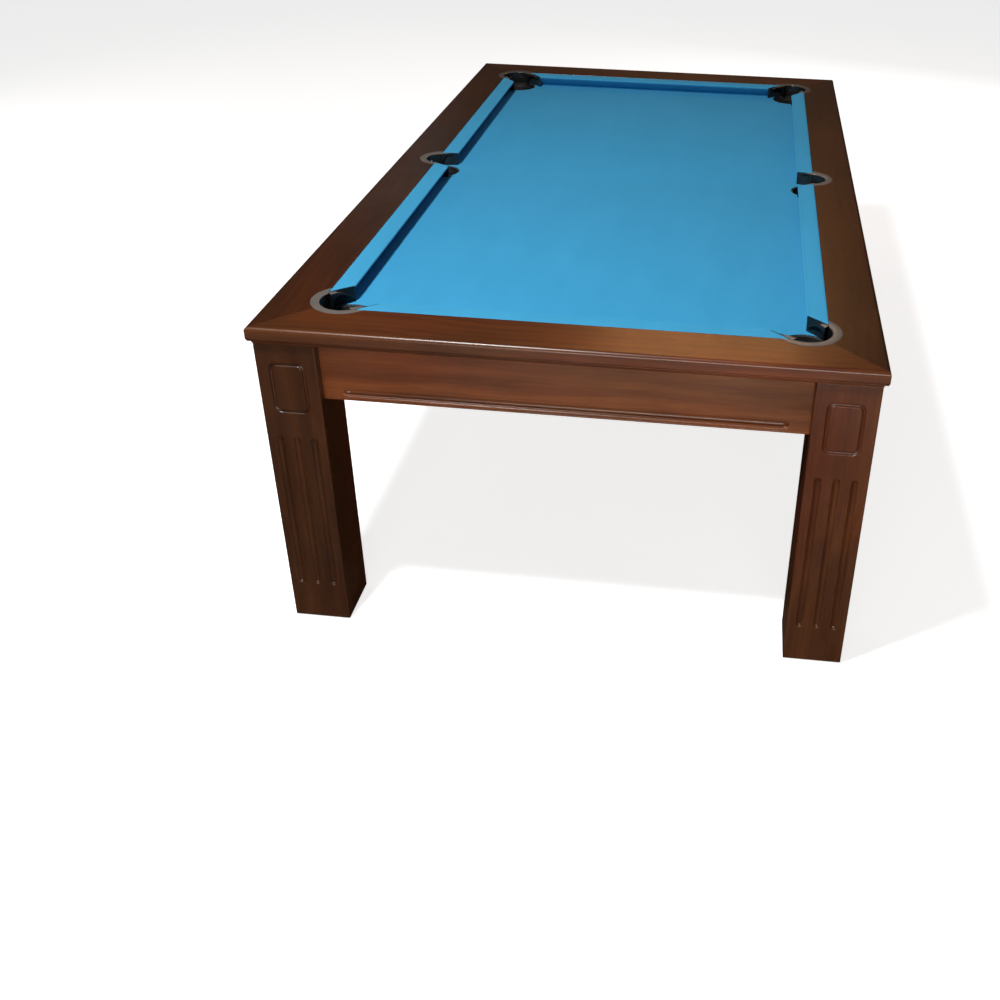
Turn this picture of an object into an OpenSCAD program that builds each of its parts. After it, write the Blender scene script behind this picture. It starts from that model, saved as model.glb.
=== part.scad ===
// Slate-bed pool table with six drop pockets, on four square fluted legs.
// The origin is on the floor under the middle of the table. +X is to the right,
// +Y runs along the length towards the back and +Z is up.

/* [Playing field] */
// Width between the noses of the side cushions
play_w = 1040; // [960:10:1120]
// Length between the noses of the end cushions
play_l = 2080; // [1920:20:2240]
// Height of the rail tops above the floor
table_h = 800; // [760:5:860]

/* [Rails and cushions] */
// Width of the wood on the side rails
side_rail_w = 118; // [112:1:130]
// Width of the wood on the end rails
end_rail_w = 124; // [116:1:136]
// Thickness of the rails above the bed
rail_t = 40; // [40:1:44]
// Distance from the wood to the nose of a cushion
cushion_d = 46; // [44:1:50]
// Radius of the upper outer edge of the rails
rail_edge_r = 8; // [5:1:12]
// Height of the small moulding under the rail's edge
step_h = 10; // [9:1:12]
// Thickness of the cloth on the bed and cushions
cloth_t = 1; // [1:0.5:1.5]

/* [Pockets] */
// Radius of the hole of a corner pocket
corner_r = 56; // [52:1:58]
// Radius of the hole of a side pocket
side_r = 45; // [42:1:46]
// Distance of a corner pocket's centre inside the corner of the nose lines
corner_in = 3; // [0:1:6]
// Distance of a side pocket's centre outside the nose line
side_out = 36; // [34:1:38]
// Width of the flat ring round a pocket
ring_w = 21; // [16:1:22]
// Opening of a corner pocket between the cushion noses
corner_mouth = 117; // [112:1:124]
// Opening of a side pocket between the cushion noses
side_mouth = 120; // [114:1:126]
// Height of the floor of the pocket bags
bag_z = 650; // [640:1:670]

/* [Base] */
// Width of a square leg
leg_w = 138; // [130:1:146]
// Distance from the edge of the rails in to the faces of the legs
overhang = 10; // [10:1:14]
// Height of the aprons
apron_h = 138; // [130:1:146]
// Thickness of the aprons
apron_t = 22; // [18:1:22]
// Distance from the face of a leg in to the face of an apron
setback = 20; // [16:1:22]
// Thickness of the slate
slate_t = 22; // [19:1:25]
// Thickness of the side and end beams
beam_t = 26; // [22:1:26]
// Height of the beams under the slate
beam_h = 90; // [80:1:95]
// Gap under a leg, which its foot stands in
foot_gap = 4; // [3:1:8]

/* [Hidden] */

$fn = 96;
e = 0.01;

// Colours
wood = "#5b2f18";
pine = "#c9a36b";
blue = "#3f93bd";
slate_grey = "#4b4f52";
black = "#1b1b1d";
ring_grey = "#8b8784";
steel = "#a9adb2";

// Plan: half sizes from the middle of the table
nose_x = play_w / 2;
nose_y = play_l / 2;
wood_x = nose_x + cushion_d;
wood_y = nose_y + cushion_d;
half_w = wood_x + side_rail_w;
half_l = wood_y + end_rail_w;
leg_x = half_w - overhang;
leg_y = half_l - overhang;
apron_x = leg_x - setback;
apron_y = leg_y - setback;
beam_x = apron_x - apron_t;
beam_y = apron_y - apron_t;
inner_x = beam_x - beam_t;
inner_y = beam_y - beam_t;

// Heights
bed_z = table_h - rail_t;
slate_top = bed_z - cloth_t;
slate_z = slate_top - slate_t;
beam_z = slate_z - beam_h;
apron_z = bed_z - apron_h;

// Pocket centres
corner_x = nose_x - corner_in;
corner_y = nose_y - corner_in;
side_x = nose_x + side_out;
ring_t = 4;
skirt_t = 3;
slate_gap = 3;

// Cushion section: the wood block behind the rubber, then the rubber's outline
block_w = 14;
block_h = 38;
nose_r = 1.8;
nose_z = 34.8;
facing_t = 3.5;
seat_gap = 0.4;
side_angle = 14;
side_cut = cushion_d * tan(side_angle);
past_nose = 8;
slate_edge = 8;

// Levelling feet and their inserts
foot_r = 25;
foot_h = 8;
stem_r = 6;
stem_l = 60;
stem_play = 0.08;
insert_r = 10;
insert_z = 14;
insert_l = 26;

// Bolts, brackets and cross beams
bolt_r = 4;
hex_r = 7.5;
hex_h = 5.5;
washer_t = 2;
bolt_bite = 24;
bolt_x = wood_x + 22;
bolt_y = wood_y + 22;
bolt_side_y = [200, 500, 800];
bolt_end_x = [-300, 0, 300];
cross_w = 45;
housing = 10;
cross_y = [-750, -250, 250, 750];
bracket_t = 3;
bracket_l = 130;
bracket_h = 70;
bracket_z = [beam_z + 25, beam_z + 65];
bracket_d = [32, 102];
leg_screw_l = 46;
beam_screw_l = 20;
frame_screw_z = beam_z + 30;
frame_screw_r = 2.5;
frame_bite = 14;
slate_screw_in = 9;
slate_screw_l = 38;
cut = 1;
leg_edge_r = 3;

function mitre_y(x) = wood_y + (x - wood_x) * end_rail_w / side_rail_w;
function mitre_x(y) = wood_x + (y - wood_y) * side_rail_w / end_rail_w;

// Puts a shape drawn for the right back quarter in any quarter
module quarter(sx, sy)
    mirror([sx < 0 ? 1 : 0, 0, 0]) mirror([0, sy < 0 ? 1 : 0, 0]) children();

module four_quarters()
    for (sx = [-1, 1], sy = [-1, 1]) quarter(sx, sy) children();

// ---- Legs and feet ----

// Square post with softly rounded upright edges, its outer corner at 0, 0
module post(h) {
    r = leg_edge_r;
    translate([-leg_w, -leg_w, 0]) linear_extrude(h) union() {
        translate([r, 0]) square([leg_w - 2 * r, leg_w]);
        translate([0, r]) square([leg_w, leg_w - 2 * r]);
        for (x = [r, leg_w - r], y = [r, leg_w - r]) translate([x, y]) circle(r);
    }
}

// Cutter for one upright flute with round ends, on a face that looks along +X
module flute() {
    flute_r = 9;
    flute_out = 4;
    z0 = 112;
    z1 = 518;
    translate([flute_out, 0, z0]) {
        cylinder(r = flute_r, h = z1 - z0);
        sphere(flute_r);
        translate([0, 0, z1 - z0]) sphere(flute_r);
    }
}

// Cutter for a round-bottomed groove that frames a panel, on a face that looks along +X
module panel_groove(w, h) {
    r = 4.2;
    bend = 13;
    translate([0.6, 0, 0]) {
        for (s = [-1, 1]) {
            translate([0, s * w / 2, -h / 2 + bend]) cylinder(r = r, h = h - 2 * bend);
            translate([0, -w / 2 + bend, s * h / 2]) rotate([-90, 0, 0]) cylinder(r = r, h = w - 2 * bend);
        }
        for (k = [0:3]) rotate([90 * k, 0, 0])
            translate([0, (k % 2 == 0 ? w : h) / 2 - bend, (k % 2 == 0 ? h : w) / 2 - bend])
                rotate([90, 0, 90]) rotate_extrude(angle = 90) translate([bend, 0]) circle(r);
    }
}

// The routed work on one outer face of a leg, drawn on a face that looks along +X
module leg_face_cuts() {
    for (y = [-40, 0, 40]) translate([0, y, 0]) flute();
    translate([0, 0, 652]) panel_groove(74, 118);
}

module leg(sx, sy) color(wood) quarter(sx, sy) difference() {
    translate([leg_x, leg_y, foot_gap]) post(bed_z - foot_gap);
    // Corner cleared for the pocket bag and the frame, then a ledge for the slate
    translate([0, 0, apron_z]) cube([inner_x, inner_y, bed_z]);
    translate([0, 0, slate_z]) cube([beam_x - slate_edge + 2, beam_y - slate_edge + 2, bed_z]);
    // Routed outer faces
    translate([leg_x, leg_y - leg_w / 2, 0]) leg_face_cuts();
    translate([leg_x - leg_w / 2, leg_y, 0]) rotate([0, 0, 90]) leg_face_cuts();
    // Recess for the foot, bore for its insert and room for its stem
    translate([leg_x - leg_w / 2, leg_y - leg_w / 2, 0]) {
        cylinder(r = foot_r + 3, h = insert_z);
        cylinder(r = insert_r, h = insert_z + insert_l);
        cylinder(r = stem_r + 2, h = foot_h + stem_l + 22);
    }
    bracket_holes(bolt_r, 50);
}

module foot(sx, sy) color(steel) quarter(sx, sy)
    translate([leg_x - leg_w / 2, leg_y - leg_w / 2, 0]) {
        rotate_extrude() polygon([[0, 0], [foot_r - 1, 0], [foot_r, 1], [foot_r, 4], [12, foot_h], [0, foot_h]]);
        translate([0, 0, foot_h]) cylinder(r = 10, h = 3, $fn = 6);
        translate([0, 0, foot_h]) cylinder(r = stem_r, h = stem_l);
    }

module foot_inserts() color("goldenrod") four_quarters()
    translate([leg_x - leg_w / 2, leg_y - leg_w / 2, insert_z]) difference() {
        cylinder(r = insert_r, h = insert_l);
        translate([0, 0, -cut]) cylinder(r = stem_r + stem_play, h = insert_l + 2 * cut);
    }

// ---- Aprons ----

// Half section of the moulding cutter, measured from its upright axis
module moulding_half() {
    polygon(concat(
        [[0, -1], [8, -1], [8, 3]],
        [for (a = [-80:20:80]) [10 - 3 * cos(a) + 1, 6.5 + 3.5 * sin(a)]],
        [[10, 11]],
        [for (a = [-70:20:90]) [10 + 8 * cos(a), 19 + 8.5 * sin(a)]],
        [[8, 29.5], [0, 29.5]]
    ));
}

// Stopped cut of that section along X, with ends as round as the cutter
module moulding_cut(l) {
    for (s = [-1, 1]) translate([s * l / 2, 0, 0]) rotate_extrude() moulding_half();
    translate([-l / 2, 0, 0]) rotate([90, 0, 90]) linear_extrude(l) moulding_half();
    translate([-l / 2, -20, -1]) cube([l, 20, 30.5]);
}

// Apron of length l along X, its outer face looking along -Y at y = 0
module apron_board(l) {
    stop = 42;
    difference() {
        translate([-l / 2, 0, 0]) cube([l, apron_t, apron_h]);
        translate([0, -9, 0]) moulding_cut(l - 2 * stop - 2 * 18);
    }
}

module apron_end(s) color(wood) rotate([0, 0, s < 0 ? 0 : 180])
    translate([0, -apron_y, apron_z]) apron_board(2 * (leg_x - leg_w));

module apron_side(s) color(wood) rotate([0, 0, s < 0 ? -90 : 90])
    translate([0, -apron_x, apron_z]) apron_board(2 * (leg_y - leg_w));

// ---- Frame under the slate ----

module beam_end(s) color(pine) quarter(1, s) difference() {
    translate([-(leg_x - leg_w), inner_y, beam_z]) cube([2 * (leg_x - leg_w), beam_t, beam_h]);
    for (sx = [-1, 1]) quarter(sx, 1) bracket_holes(bolt_r, 22);
    frame_screw_ends(frame_screw_r);
    for (x = slate_screw_x) translate([x, inner_y + slate_screw_in, slate_z - slate_screw_l - 2])
        cylinder(r = frame_screw_r, h = slate_screw_l + 3);
}

module beam_side(s) color(pine) quarter(s, 1) difference() {
    translate([inner_x, -(leg_y - leg_w), beam_z]) cube([beam_t, 2 * (leg_y - leg_w), beam_h]);
    for (y = cross_y) translate([inner_x - 1, y - cross_w / 2, beam_z - 1]) cube([housing + 1, cross_w, beam_h + 2]);
    for (sy = [-1, 1]) quarter(1, sy) bracket_holes(bolt_r, 22);
    frame_screw_sides(frame_screw_r);
    for (y = slate_screw_y) translate([inner_x + slate_screw_in, y, slate_z - slate_screw_l - 2])
        cylinder(r = frame_screw_r, h = slate_screw_l + 3);
}

module cross_beam(k) color(pine)
    translate([-inner_x - housing, cross_y[k] - cross_w / 2, beam_z])
        cube([2 * (inner_x + housing), cross_w, beam_h]);

// Shafts through a bracket into a leg and its two beams, drawn in the right back quarter
module bracket_holes(r, l) for (z = bracket_z, d = bracket_d) {
    translate([inner_x - bracket_t - e, inner_y - d, z]) rotate([0, 90, 0]) cylinder(r = r, h = l);
    translate([inner_x - d, inner_y - bracket_t - e, z]) rotate([-90, 0, 0]) cylinder(r = r, h = l);
}

module corner_brackets() color(steel) four_quarters() difference() {
    translate([inner_x - bracket_l, inner_y - bracket_l, beam_z + 10]) difference() {
        cube([bracket_l, bracket_l, bracket_h]);
        translate([-cut, -cut, -cut])
            cube([bracket_l - bracket_t + cut, bracket_l - bracket_t + cut, bracket_h + 2 * cut]);
    }
    bracket_holes(bolt_r + 0.3, 10);
}

module hex_screw(shaft_l) {
    translate([0, 0, -hex_h]) cylinder(r = hex_r, h = hex_h, $fn = 6);
    cylinder(r = bolt_r, h = shaft_l);
}

module bracket_screws() color(steel) four_quarters() for (z = bracket_z, d = bracket_d) {
    l = d == bracket_d[0] ? leg_screw_l : beam_screw_l;
    translate([inner_x - bracket_t, inner_y - d, z]) rotate([0, 90, 0]) hex_screw(l);
    translate([inner_x - d, inner_y - bracket_t, z]) rotate([-90, 0, 0]) hex_screw(l);
}

// Screws from the beams out into the aprons
frame_screw_y = [-920, -500, -150, 150, 500, 920];
frame_screw_x = [-380, 0, 380];

module frame_screw_sides(r) for (y = frame_screw_y)
    translate([inner_x, y, frame_screw_z]) rotate([0, 90, 0]) cylinder(r = r, h = beam_t + frame_bite);

module frame_screw_ends(r) for (x = frame_screw_x)
    translate([x, inner_y, frame_screw_z]) rotate([-90, 0, 0]) cylinder(r = r, h = beam_t + frame_bite);

module pan_screw(l) {
    translate([0, 0, -3]) cylinder(r = 5, h = 3);
    cylinder(r = frame_screw_r, h = l);
}

module frame_screws() color(steel) {
    for (s = [-1, 1]) quarter(s, 1) for (y = frame_screw_y)
        translate([inner_x, y, frame_screw_z]) rotate([0, 90, 0]) pan_screw(beam_t);
    for (s = [-1, 1]) quarter(1, s) for (x = frame_screw_x)
        translate([x, inner_y, frame_screw_z]) rotate([-90, 0, 0]) pan_screw(beam_t);
}

// ---- Slate and bed cloth ----

slate_screw_y = [-650, -110, 110, 650];
slate_screw_x = [-200, 200];

// Cutters for the pocket notches through the slate and the bed cloth
module bed_notches(gap, h) {
    channel = 8;
    for (sx = [-1, 1], sy = [-1, 1]) quarter(sx, sy) translate([corner_x, corner_y, 0]) {
        r = corner_r + gap;
        cylinder(r = r, h = h);
        rotate([0, 0, 45]) translate([0, channel / 2 - r, 0]) cube([300, 2 * r - channel, h]);
    }
    for (sx = [-1, 1]) quarter(sx, 1) translate([side_x, 0, 0]) {
        r = side_r + gap;
        cylinder(r = r, h = h);
        translate([0, channel / 2 - r, 0]) cube([100, 2 * r - channel, h]);
    }
}

module rail_bolt_places() {
    for (sx = [-1, 1], sy = [-1, 1], y = bolt_side_y) translate([sx * bolt_x, sy * y]) children();
    for (sy = [-1, 1], x = bolt_end_x) translate([x, sy * bolt_y]) children();
}

module slate_screw_places() {
    for (sx = [-1, 1], y = slate_screw_y) translate([sx * (inner_x + slate_screw_in), y]) children();
    for (sy = [-1, 1], x = slate_screw_x) translate([x, sy * (inner_y + slate_screw_in)]) children();
}

// Plate of thickness t with its underside at z, notched for the pockets and bored for the bolts
module bed_plate(z, t) difference() {
    translate([slate_edge - beam_x, slate_edge - beam_y, z])
        cube([2 * (beam_x - slate_edge), 2 * (beam_y - slate_edge), t]);
    translate([0, 0, z - 1]) bed_notches(skirt_t + slate_gap, t + 2);
    rail_bolt_places() translate([0, 0, z - 1]) cylinder(r = bolt_r + 1.5, h = t + 2);
}

module slate_bed() color(slate_grey) difference() {
    bed_plate(slate_z, slate_t);
    slate_screw_places() {
        translate([0, 0, slate_z - 1]) cylinder(r = 3, h = slate_t + 2);
        translate([0, 0, slate_top - 4]) cylinder(r1 = 3, r2 = 7.1, h = 4.1);
    }
}

module slate_screws() color(steel) slate_screw_places() {
    translate([0, 0, slate_top - 4]) cylinder(r1 = 2.5, r2 = 6.6, h = 4);
    translate([0, 0, slate_z - slate_screw_l]) cylinder(r = frame_screw_r, h = slate_screw_l + slate_t - 3);
}

module bed_cloth() color(blue) bed_plate(slate_top, cloth_t);

// ---- Rails ----

// Section of a rail: x runs out from the wood line, y up from the bed
module rail_section(w) {
    low_r = 4;
    cove_r = step_h - 2;
    difference() {
        union() {
            translate([0, step_h]) square([w, rail_t - step_h]);
            square([w - 2, step_h + 1]);
            translate([-block_w, 0]) square([block_w + 1, block_h]);
        }
        translate([w - rail_edge_r, rail_t - rail_edge_r]) difference() {
            square(rail_edge_r + 1);
            circle(rail_edge_r);
        }
        translate([w - low_r, step_h]) difference() {
            translate([0, -1]) square([low_r + 1, low_r + 1]);
            translate([0, low_r]) circle(low_r);
            translate([-1, -2]) square([low_r - 1, 2]);
        }
        translate([w - 2, 0]) circle(cove_r);
    }
}

// Mouth of a corner pocket between its two facings, moved back by g into the cushions
module corner_mouth_shape(g) {
    m = corner_mouth / sqrt(2) + g * sqrt(2);
    n = past_nose;
    polygon([[nose_x - n, nose_y - m - n], [wood_x + e, wood_y - m + e], [wood_x + e, wood_y + e],
             [wood_x - m + e, wood_y + e], [nose_x - m - n, nose_y - n]]);
}

// Mouth of a side pocket, in the same way
module side_mouth_shape(g) {
    m = side_mouth / 2 + g / cos(side_angle);
    k = side_cut / cushion_d;
    n = past_nose;
    polygon([[nose_x - n, -m - n * k], [wood_x + e, side_cut - m], [wood_x + e, m - side_cut], [nose_x - n, m + n * k]]);
}

module mouths(g, h) translate([0, 0, bed_z - 1]) linear_extrude(h) {
    for (sx = [-1, 1], sy = [-1, 1]) quarter(sx, sy) corner_mouth_shape(g);
    for (sx = [-1, 1]) quarter(sx, 1) side_mouth_shape(g);
}

// Pocket holes through the rails and the seats for the rings
module rail_pockets() {
    for (sx = [-1, 1], sy = [-1, 1]) quarter(sx, sy) translate([corner_x, corner_y, 0]) {
        translate([0, 0, bed_z - 1]) cylinder(r = corner_r + skirt_t, h = rail_t + 2);
        translate([0, 0, table_h - ring_t]) cylinder(r = corner_r + ring_w, h = ring_t + 1);
    }
    for (sx = [-1, 1]) quarter(sx, 1) translate([side_x, 0, 0]) {
        translate([0, 0, bed_z - 1]) cylinder(r = side_r + skirt_t, h = rail_t + 2);
        translate([0, 0, table_h - ring_t]) cylinder(r = side_r + ring_w, h = ring_t + 1);
    }
    mouths(facing_t, rail_t + 2);
}

module rail_cuts() {
    rail_pockets();
    rail_bolt_places() translate([0, 0, bed_z - 1]) cylinder(r = bolt_r, h = bolt_bite + 3);
    ring_screw_places() cylinder(r = 1.5, h = 22);
}

module rail_side(s) color(wood) quarter(s, 1) difference() {
    intersection() {
        translate([wood_x, half_l + 1, bed_z]) rotate([90, 0, 0])
            linear_extrude(2 * half_l + 2) rail_section(side_rail_w);
        translate([0, 0, bed_z - 1]) linear_extrude(rail_t + 2) polygon([
            [wood_x - 20, mitre_y(wood_x - 20)], [half_w + 1, mitre_y(half_w + 1)],
            [half_w + 1, -mitre_y(half_w + 1)], [wood_x - 20, -mitre_y(wood_x - 20)]]);
    }
    rail_cuts();
}

module rail_end(s) color(wood) quarter(1, s) difference() {
    intersection() {
        translate([-half_w - 1, wood_y, bed_z]) rotate([90, 0, 90])
            linear_extrude(2 * half_w + 2) rail_section(end_rail_w);
        translate([0, 0, bed_z - 1]) linear_extrude(rail_t + 2) polygon([
            [mitre_x(wood_y - 20), wood_y - 20], [mitre_x(half_l + 1), half_l + 1],
            [-mitre_x(half_l + 1), half_l + 1], [-mitre_x(wood_y - 20), wood_y - 20]]);
    }
    rail_cuts();
}

module rail_bolts() color(steel) rail_bolt_places() {
    head_z = slate_z - washer_t - hex_h;
    translate([0, 0, slate_z - washer_t]) difference() {
        cylinder(r = 10, h = washer_t);
        translate([0, 0, -cut]) cylinder(r = bolt_r, h = washer_t + 2 * cut);
    }
    translate([0, 0, head_z]) cylinder(r = hex_r, h = hex_h, $fn = 6);
    translate([0, 0, head_z]) cylinder(r = bolt_r, h = bed_z + bolt_bite - head_z);
}

// ---- Cushions ----

nose_angles = [93:13.1:224];

function nose_arc(r, angles = nose_angles) = [for (a = angles) [-cushion_d + nose_r + cloth_t + r * cos(a), nose_z + r * sin(a)]];

module rubber_section() polygon(concat([[-block_w, block_h]], nose_arc(nose_r), [[-22, 10], [-block_w, 8]]));

module cloth_section() difference() {
    polygon(concat([[0, block_h + cloth_t], [-block_w, block_h + cloth_t]], nose_arc(nose_r + cloth_t),
                   [[-22.6, 9.2], [-block_w - cloth_t, 7.2], [-block_w - cloth_t, seat_gap], [-block_w, seat_gap], [0, 2]]));
    rubber_section();
    translate([-block_w, -1]) square([block_w + 1, block_h + 1]);
}

// A section run along one cushion's place: "end" for an end rail, else half of a side rail
module along_side() translate([wood_x, nose_y, bed_z]) rotate([90, 0, 0]) linear_extrude(nose_y) children();
module along_end() translate([-nose_x, wood_y, bed_z]) rotate([90, 0, 90]) linear_extrude(2 * nose_x) children();

module rubber_side(sx, sy) color(black) quarter(sx, sy) difference() {
    along_side() rubber_section();
    mouths(facing_t, rail_t + 2);
}

module rubber_end(s) color(black) quarter(1, s) difference() {
    along_end() rubber_section();
    mouths(facing_t, rail_t + 2);
}

module cushion_cloth_side(sx, sy) color(blue) quarter(sx, sy) difference() {
    along_side() cloth_section();
    mouths(facing_t, rail_t + 2);
}

module cushion_cloth_end(s) color(blue) quarter(1, s) difference() {
    along_end() cloth_section();
    mouths(facing_t, rail_t + 2);
}

// Outline of a facing: the cushion's top and nose, then straight down to the bed
module facing_section() polygon(concat(
    [[0, seat_gap], [0, block_h + cloth_t], [-block_w, block_h + cloth_t]],
    nose_arc(nose_r + cloth_t, [93:13.1:182]), [[1 - cushion_d, seat_gap]]));

// Hard rubber pads over the whole cut ends of the cushions
module facings() color(black) {
    for (sx = [-1, 1], sy = [-1, 1]) quarter(sx, sy) facing_pair() along_side() facing_section();
    for (sy = [-1, 1]) quarter(1, sy) facing_pair() along_end() facing_section();
}

module facing_pair() difference() {
    intersection() {
        children();
        mouths(facing_t, rail_t + 2);
    }
    mouths(0, rail_t + 2);
}

// ---- Pocket rings and bags ----

// The part of the ring that lies in the wood
module ring_arc(r, w, cx, cy) difference() {
    translate([cx, cy]) circle(r + w);
    translate([cx, cy]) circle(r);
    translate([-1, -half_l]) square([wood_x + 1, half_l + wood_y]);
}

// Tapering horn of a ring, from the wood line inward along a facing
module horn(base, dir, side, l, w, tip) polygon([
    base - 2 * dir, base + l * dir, base + l * dir + tip * side, base + w * side, base + w * side - 6 * dir]);

module corner_ring_plan() {
    horn_l = 60;
    horn_w = 11;
    tip_w = 5;
    m = corner_mouth / sqrt(2);
    d = 1 / sqrt(2);
    ring_arc(corner_r, ring_w, corner_x, corner_y);
    horn([wood_x, wood_y - m], [-d, -d], [-d, d], horn_l, horn_w, tip_w);
    horn([wood_x - m, wood_y], [-d, -d], [d, -d], horn_l, horn_w, tip_w);
}

module side_ring_plan() {
    horn_l = 36;
    horn_w = 5;
    tip_w = 2.5;
    m = side_mouth / 2 - side_cut;
    ring_arc(side_r, ring_w, side_x, 0);
    for (s = [-1, 1]) horn([wood_x, s * m], [-cos(side_angle), s * sin(side_angle)], [0, -s], horn_l, horn_w, tip_w);
}

module ring_corner(sx, sy) color(ring_grey) quarter(sx, sy) {
    translate([0, 0, table_h - ring_t]) linear_extrude(ring_t) corner_ring_plan();
    difference() {
        translate([0, 0, bed_z - 3]) linear_extrude(rail_t - ring_t + 3 + e) ring_arc(corner_r, skirt_t, corner_x, corner_y);
        quarter(1, 1) ring_screw_corner() cylinder(r = 2, h = 12, center = true);
    }
}

module ring_side(s) color(ring_grey) quarter(s, 1) {
    translate([0, 0, table_h - ring_t]) linear_extrude(ring_t) side_ring_plan();
    difference() {
        translate([0, 0, bed_z - 3]) linear_extrude(rail_t - ring_t + 3 + e) ring_arc(side_r, skirt_t, side_x, 0);
        ring_screw_side() cylinder(r = 2, h = 12, center = true);
    }
}

// Places of the screws through a skirt into the wood, each along its own +Z
module ring_screw_corner() for (a = [0, 45, 90])
    translate([corner_x, corner_y, bed_z + 20]) rotate([0, 0, a]) translate([corner_r, 0, 0]) rotate([0, 90, 0]) children();

module ring_screw_side() for (a = [-30, 30])
    translate([side_x, 0, bed_z + 20]) rotate([0, 0, a]) translate([side_r, 0, 0]) rotate([0, 90, 0]) children();

module ring_screw_places() {
    for (sx = [-1, 1], sy = [-1, 1]) quarter(sx, sy) ring_screw_corner() children();
    for (sx = [-1, 1]) quarter(sx, 1) ring_screw_side() children();
}

module ring_screws() color(steel) ring_screw_places() {
    translate([0, 0, -1.9]) cylinder(r = 3.2, h = 1.6);
    translate([0, 0, -0.3]) cylinder(r = 1.5, h = 20);
}

// Half section of a cup with a rounded floor
module cup_half(r, h, bend) {
    square([r - bend, h]);
    translate([0, bend]) square([r, h - bend]);
    translate([r - bend, bend]) intersection() {
        circle(bend);
        translate([0, -bend]) square([bend, bend + 1]);
    }
}

module bag(r) {
    wall = 3;
    bend = 30;
    h = bed_z - skirt_t - bag_z;
    rotate_extrude() difference() {
        cup_half(r + wall, h, bend);
        translate([0, wall]) cup_half(r, h, bend - wall);
    }
}

module bag_corner(sx, sy) color(black) quarter(sx, sy) translate([corner_x, corner_y, bag_z]) bag(corner_r);

module bag_side(s) color(black) quarter(s, 1) translate([side_x, 0, bag_z]) bag(side_r);

// ---- The nodes ----

leg(-1, -1);  // leg_front_left
leg(1, -1);  // leg_front_right
leg(-1, 1);  // leg_back_left
leg(1, 1);  // leg_back_right
foot(-1, -1);  // foot_front_left
foot(1, -1);  // foot_front_right
foot(-1, 1);  // foot_back_left
foot(1, 1);  // foot_back_right
foot_inserts();
apron_end(-1);  // apron_front
apron_end(1);  // apron_back
apron_side(-1);  // apron_left
apron_side(1);  // apron_right
beam_end(-1);  // beam_front
beam_end(1);  // beam_back
beam_side(-1);  // beam_left
beam_side(1);  // beam_right
cross_beam(0);  // cross_beam_1
cross_beam(1);  // cross_beam_2
cross_beam(2);  // cross_beam_3
cross_beam(3);  // cross_beam_4
corner_brackets();
slate_bed();
bed_cloth();
rail_end(-1);  // rail_front
rail_end(1);  // rail_back
rail_side(-1);  // rail_left
rail_side(1);  // rail_right
rubber_end(-1);  // rubber_front
rubber_end(1);  // rubber_back
rubber_side(-1, -1);  // rubber_front_left
rubber_side(1, -1);  // rubber_front_right
rubber_side(-1, 1);  // rubber_back_left
rubber_side(1, 1);  // rubber_back_right
cushion_cloth_end(-1);  // cushion_cloth_front
cushion_cloth_end(1);  // cushion_cloth_back
cushion_cloth_side(-1, -1);  // cushion_cloth_front_left
cushion_cloth_side(1, -1);  // cushion_cloth_front_right
cushion_cloth_side(-1, 1);  // cushion_cloth_back_left
cushion_cloth_side(1, 1);  // cushion_cloth_back_right
facings();
ring_corner(-1, -1);  // ring_front_left
ring_corner(1, -1);  // ring_front_right
ring_side(-1);  // ring_side_left
ring_side(1);  // ring_side_right
ring_corner(-1, 1);  // ring_back_left
ring_corner(1, 1);  // ring_back_right
bag_corner(-1, -1);  // bag_front_left
bag_corner(1, -1);  // bag_front_right
bag_side(-1);  // bag_side_left
bag_side(1);  // bag_side_right
bag_corner(-1, 1);  // bag_back_left
bag_corner(1, 1);  // bag_back_right
rail_bolts();
bracket_screws();
frame_screws();
slate_screws();
ring_screws();
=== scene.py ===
# %% [markdown]
# # A slate-bed pool table
#
# This lesson dresses a finished table frame: gloss-lacquered rails, aprons and legs, blue wool cloth
# on the bed and cushions, grey rings round six pockets, and leather bags under them. The shapes that
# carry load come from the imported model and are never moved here. Soft and rounded pieces are built
# below and stand in for the plain solids they replace.

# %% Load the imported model
import math

import bmesh
import bpy
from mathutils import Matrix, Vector


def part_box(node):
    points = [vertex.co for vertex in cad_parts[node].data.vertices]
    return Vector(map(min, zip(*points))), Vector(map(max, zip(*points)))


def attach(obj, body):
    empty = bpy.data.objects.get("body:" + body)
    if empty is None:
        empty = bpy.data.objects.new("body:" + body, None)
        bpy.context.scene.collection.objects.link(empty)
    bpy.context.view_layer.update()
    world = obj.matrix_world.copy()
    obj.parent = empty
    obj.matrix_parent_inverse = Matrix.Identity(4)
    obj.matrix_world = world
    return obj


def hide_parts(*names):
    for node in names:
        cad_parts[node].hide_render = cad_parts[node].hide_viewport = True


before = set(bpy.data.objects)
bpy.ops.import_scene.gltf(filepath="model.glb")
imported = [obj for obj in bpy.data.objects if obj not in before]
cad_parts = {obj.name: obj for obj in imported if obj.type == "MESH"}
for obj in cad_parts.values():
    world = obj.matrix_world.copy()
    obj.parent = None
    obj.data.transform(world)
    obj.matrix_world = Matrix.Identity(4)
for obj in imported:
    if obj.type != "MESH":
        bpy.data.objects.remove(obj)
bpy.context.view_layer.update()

# %% [markdown]
# ## Sizes
#
# Every size that can be read from the model is read from it, so the looks follow the design if it
# changes. What the model doesn't hold, such as the thickness of a hem, is named here once.

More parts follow.
